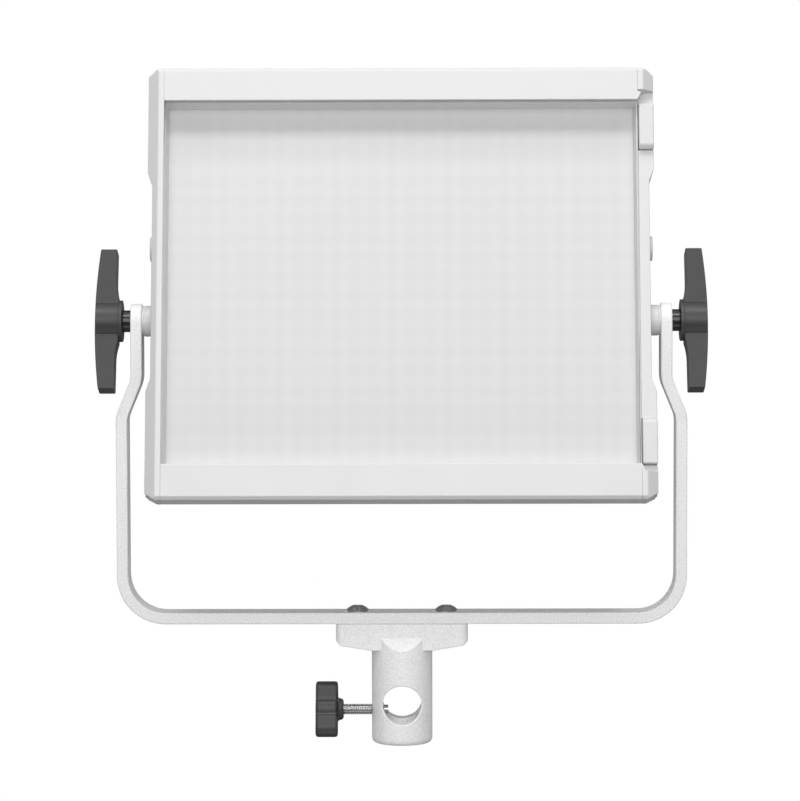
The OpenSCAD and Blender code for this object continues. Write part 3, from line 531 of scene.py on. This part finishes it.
def socket_flange(radius, front, top, half):
    """Flange with tapered ends, rounded corners and two bolt holes."""
    end_z, corner, hole_r, hole_x = top - 12.2, 4.0, 4.05, 25.6

    def tapered(bm):
        right = [(radius, end_z - 3), (half - 2.5, end_z), (half, end_z + 2.5),
                 (half, top - 1), (half - 1, top)]
        left = [(-x, z) for x, z in reversed(right)]
        prism(bm, left[-1:] + right + left[:-1], -front, front, along_y)

    def plan(bm):
        outline = []
        for cx, cy, turn in ((1, 1, 0), (-1, 1, 90), (-1, -1, 180), (1, -1, 270)):
            for step in range(7):
                t = math.radians(turn + 15 * step)
                outline.append((cx * (half - corner) + corner * math.cos(t),
                                cy * (front - corner) + corner * math.sin(t)))
        prism(bm, outline, 40.0, top + 5, along_z)

    def hole(side):
        return lambda bm: lathe(bm, [(50.0, hole_r), (top + 5, hole_r)],
                                upright(side * hole_x), 48)

    solid = cut_by(temporary(tapered), [temporary(plan)], "INTERSECT")
    shape = new_object("temporary", bmesh_of(solid))
    round_edges(shape, 0.6)
    return cut_by(shape, [temporary(hole(-1)), temporary(hole(1))])


def make_socket():
    """Socket casting: a post under a flange."""
    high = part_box("stand_socket")[1] / MM
    radius, top, half = high.y, high.z, high.x
    front = 12.7
    meshes = [socket_post(radius, front, top), socket_flange(radius, front, top, half)]
    finish_piece(joined("socket_shape", meshes, 22.0), "stand_socket")


def make_bolts():
    """Button-head bolts: a spherical dome with a hexagonal recess."""
    low, high = (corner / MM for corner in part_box("yoke_bolts"))
    shank_r, head_r, head_h = 4.0, 7.2, 3.8
    hex_flat, hex_edge, hex_floor = 2.5, 0.12, 1.6
    seat = high.z - (head_h - 0.3)
    dome = (head_r ** 2 + head_h ** 2) / (2 * head_h)
    spread = high.x - head_r

    def height(r):
        return seat + head_h - dome + math.sqrt(dome ** 2 - r * r)

    def hexagon(t, flat):
        return flat / math.cos((t % (math.pi / 3)) - math.pi / 6)

    def ring(place, radius_at, height_at):
        return [place(height_at(radius_at(t)), radius_at(t) * math.cos(t),
                      radius_at(t) * math.sin(t)) for t in full_turn()]

    def round_ring(place, r, z):
        return ring(place, lambda t: r, lambda _: z)

    def hex_ring(place, flat, height_at):
        return ring(place, lambda t: hexagon(t, flat), height_at)

    bm = bmesh.new()
    for side in (-1, 1):
        place = upright(side * spread)
        shank = [(low.z, shank_r - 0.4), (low.z + 0.4, shank_r), (seat, shank_r)]
        rim = [(seat, head_r - 0.3), (seat + 0.05, head_r - 0.08)]
        crown = [(height(r), r) for r in (7.1, 6.8, 6.4, 5.9, 5.3, 4.6, 3.9, 3.3)]
        rings = [round_ring(place, r, z) for z, r in shank + rim + crown]
        rings.append(hex_ring(place, hex_flat + hex_edge, height))
        rings.append(hex_ring(place, hex_flat, lambda r: height(r) - hex_edge))
        rings.append(hex_ring(place, hex_flat, lambda _: seat + hex_floor + 0.1))
        rings.append(hex_ring(place, hex_flat, lambda _: seat + hex_floor))
        skin(bm, rings)
    finish_piece(new_object("bolts_shape", in_metres(bm), 40.0), "yoke_bolts")


def make_clamp_screw():
    """Screw with a real helical thread that fades out at both ends."""
    low, high = (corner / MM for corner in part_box("clamp_screw"))
    crest = (high.z - low.z) / 2
    centre = (high.z + low.z) / 2
    length = high.x - low.x
    pitch, depth, columns, rows_per_pitch = 1.27, 0.62, 48, 10
    rows = int(length / pitch * rows_per_pitch)

    def radius_at(x, turn, fade):
        """Thread profile with flat crests, from the root up."""
        u = (x / pitch + turn) % 1.0
        wave = min(1.0, max(0.0, 1.3 * (1 - abs(2 * u - 1)) - 0.08))
        return crest - depth * (1 - wave * fade)

    loops = []
    for i in range(rows + 1):
        x = low.x + length * i / rows
        fade = min(1.0, i / 4, (rows - i) / 6)
        loop = []
        for k, t in enumerate(full_turn(columns)):
            r = radius_at(x, k / columns, fade)
            loop.append((x, r * math.cos(t), centre + r * math.sin(t)))
        loops.append(loop)
    bm = bmesh.new()
    skin(bm, loops)
    finish_piece(new_object("clamp_thread", in_metres(bm), 60.0), "clamp_screw")


def make_handle(node, side):
    """T handle: turned collar and hub, and a bowed grip across it."""
    low, high = (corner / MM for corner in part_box(node))
    hub_end = high.x if side > 0 else -low.x
    hub_l, collar_t, hub_r, collar_r = 13.6, 2.1, 11.2, 12.0
    hub_x = hub_end - hub_l
    collar_x = hub_x - collar_t
    stud_r, stud_end = 4.05, hub_end - 7.8
    half, half_w = 41.9, 5.75
    bow, tip_t, flare_r = 2.6, 9.4, 36.0
    bow_r = (half ** 2 + bow ** 2) / (2 * bow)
    inner_x = hub_end - bow - tip_t
    root_z = hub_r + 1.5
    flare_z = root_z + math.sqrt(flare_r ** 2 - (flare_r - inner_x + hub_x) ** 2)
    axis_z = PIVOT_Z / MM
    turn = math.radians(20.0)

    def place(x, y, z):
        return (side * x, y * math.cos(turn) + z * math.sin(turn),
                axis_z + z * math.cos(turn) - y * math.sin(turn))

    def turned(bm):
        profile = [(stud_end, stud_r), (collar_x, stud_r), (collar_x, collar_r),
                   (hub_x, collar_r), (hub_x, hub_r), (hub_end - 0.6, hub_r),
                   (hub_end - 0.6, 2.0)]
        lathe(bm, fillet(profile, [0, 0.35, 0.45, 0, 0.6]), place)

    def inner_face(z):
        """How far out the side towards the yoke is, at a height on the grip."""
        if abs(z) >= flare_z:
            return inner_x
        if abs(z) > root_z:
            return inner_x - flare_r + math.sqrt(flare_r ** 2 - (flare_z - abs(z)) ** 2)
        return hub_x

    def grip(bm):
        count = 40
        heights = [half * (2 * i / count - 1) for i in range(count + 1)]
        outer = [(hub_end - bow_r + math.sqrt(bow_r ** 2 - z * z), z) for z in heights]
        corners = [-flare_z, flare_z, -root_z, root_z]
        inner = [(inner_face(z), z) for z in sorted(heights + corners, reverse=True)]
        skin(bm, [[place(x, y, z) for x, z in outer + inner] for y in (-half_w, half_w)])

    grip_shape = temporary(grip)
    round_edges(grip_shape, 0.55, 4)
    meshes = [evaluated_mesh(temporary(turned)), evaluated_mesh(grip_shape)]
    finish_piece(joined(node + "_shape", meshes, 50.0), node)


for part, radius in ROUNDED.items():
    refined(part, radius)
make_socket()
make_bolts()
make_clamp_screw()
make_handle("left_handle", -1)
make_handle("right_handle", 1)


# ---- studio: floor, light and camera ----

# name, place, width, height and power of each soft light
LIGHTS = (
    ("front_light", (0.0, -2.15, 0.85), 1.7, 1.3, 26.0),
    ("high_light", (0.0, -0.8, 1.75), 1.6, 0.35, 15.5),
    ("top_light", (0.0, -0.35, 1.8), 1.6, 0.08, 5.0),
    ("low_light", (0.0, -0.8, -1.0), 1.6, 0.6, 4.0),
    ("rear_top_light", (0.0, 0.3, 1.8), 1.6, 0.2, 3.0),
    ("left_light", (-1.6, -0.8, 0.5), 0.8, 1.6, 2.0),
    ("left_back_light", (-1.5, 1.5, 0.3), 1.0, 0.8, 6.5),
    ("right_back_light", (1.5, 1.5, 0.3), 1.0, 0.8, 6.5),
    ("side_light", (1.6, -0.8, 0.5), 0.8, 1.6, 1.4),
)
LIGHT_AIM = Vector((0.0, 0.0, 0.22))
FLOOR_Z = -0.35


def softbox(name, place, width, height, power):
    """Rectangular area light that points at the middle of the lamp."""
    light = bpy.data.lights.new(name, "AREA")
    light.shape = "RECTANGLE"
    light.size = width
    light.size_y = height
    light.energy = power
    obj = bpy.data.objects.new(name, light)
    obj.location = place
    obj.rotation_euler = (LIGHT_AIM - obj.location).to_track_quat("-Z", "Y").to_euler()
    scene.collection.objects.link(obj)


def studio():
    """White surroundings for the camera, dimmer ones for the lamp, and the lights."""
    world = bpy.data.worlds.new("studio")
    scene.world = world
    world.use_nodes = True
    tree = world.node_tree
    tree.nodes.clear()
    out = tree.nodes.new("ShaderNodeOutputWorld")
    mix = tree.nodes.new("ShaderNodeMixShader")
    path = tree.nodes.new("ShaderNodeLightPath")
    ambient = tree.nodes.new("ShaderNodeBackground")
    ambient.inputs["Strength"].default_value = 0.19
    seen = tree.nodes.new("ShaderNodeBackground")
    seen.inputs["Strength"].default_value = 1.0
    tree.links.new(path.outputs["Is Camera Ray"], mix.inputs["Fac"])
    for shader, socket in ((ambient, 1), (seen, 2)):
        shader.inputs["Color"].default_value = (1.0, 1.0, 1.0, 1.0)
        tree.links.new(shader.outputs[0], mix.inputs[socket])
    tree.links.new(mix.outputs[0], out.inputs["Surface"])

    for light in LIGHTS:
        softbox(*light)
    scene.view_settings.view_transform = "Standard"


def floor_material():
    """Pale floor that fades to white towards its rim."""
    mat, tree, bsdf, coord = new_material("floor_white")
    length = tree.nodes.new("ShaderNodeVectorMath")
    length.operation = "LENGTH"
    tree.links.new(coord, length.inputs[0])
    rim = remap(tree, length.outputs["Value"], 0.0, 1.0, 0.6, 1.4)
    soft = noise(tree, coord, 30.0)
    tree.links.new(remap(tree, soft, 0.7, 0.8), bsdf.inputs["Roughness"])
    bsdf.inputs["Base Color"].default_value = (0.93, 0.93, 0.93, 1.0)
    bsdf.inputs["Specular IOR Level"].default_value = 0.0
    glow = tree.nodes.new("ShaderNodeEmission")
    mix = tree.nodes.new("ShaderNodeMixShader")
    tree.links.new(rim, mix.inputs["Fac"])
    tree.links.new(bsdf.outputs[0], mix.inputs[1])
    tree.links.new(glow.outputs[0], mix.inputs[2])
    tree.links.new(mix.outputs[0], tree.nodes["Material Output"].inputs["Surface"])
    return mat


def make_floor():
    """Round floor that takes shadows but lets the low light through from below."""
    bm = bmesh.new()
    bmesh.ops.create_circle(bm, cap_ends=True, segments=96, radius=8.0)
    mesh = bpy.data.meshes.new("floor")
    bm.to_mesh(mesh)
    bm.free()
    obj = bpy.data.objects.new("floor", mesh)
    obj.location = (0.0, 0.0, FLOOR_Z)
    mesh.materials.append(floor_material())
    scene.collection.objects.link(obj)
    obj.visible_diffuse = False
    obj.visible_glossy = False
    obj.visible_shadow = False


def make_camera():
    """Long lens in front of the lamp, a little above it and looking slightly down."""
    place = Vector((11.9, -1921.1, 323.8)) * MM
    pitch, yaw, roll = math.radians(3.74), math.radians(-0.38), math.radians(-0.14)
    ahead = Vector((math.sin(yaw) * math.cos(pitch), math.cos(yaw) * math.cos(pitch),
                    -math.sin(pitch)))
    right = Vector((math.cos(yaw), -math.sin(yaw), 0.0))
    up = right.cross(ahead)
    right_rolled = right * math.cos(roll) + up * math.sin(roll)
    up_rolled = up * math.cos(roll) - right * math.sin(roll)
    data = bpy.data.cameras.new("camera")
    data.lens = 150.25
    data.clip_end = 50.0
    obj = bpy.data.objects.new("camera", data)
    turn = Matrix((right_rolled, up_rolled, -ahead)).transposed().to_4x4()
    obj.matrix_world = Matrix.Translation(place) @ turn
    scene.collection.objects.link(obj)
    scene.camera = obj


studio()
make_floor()
make_camera()
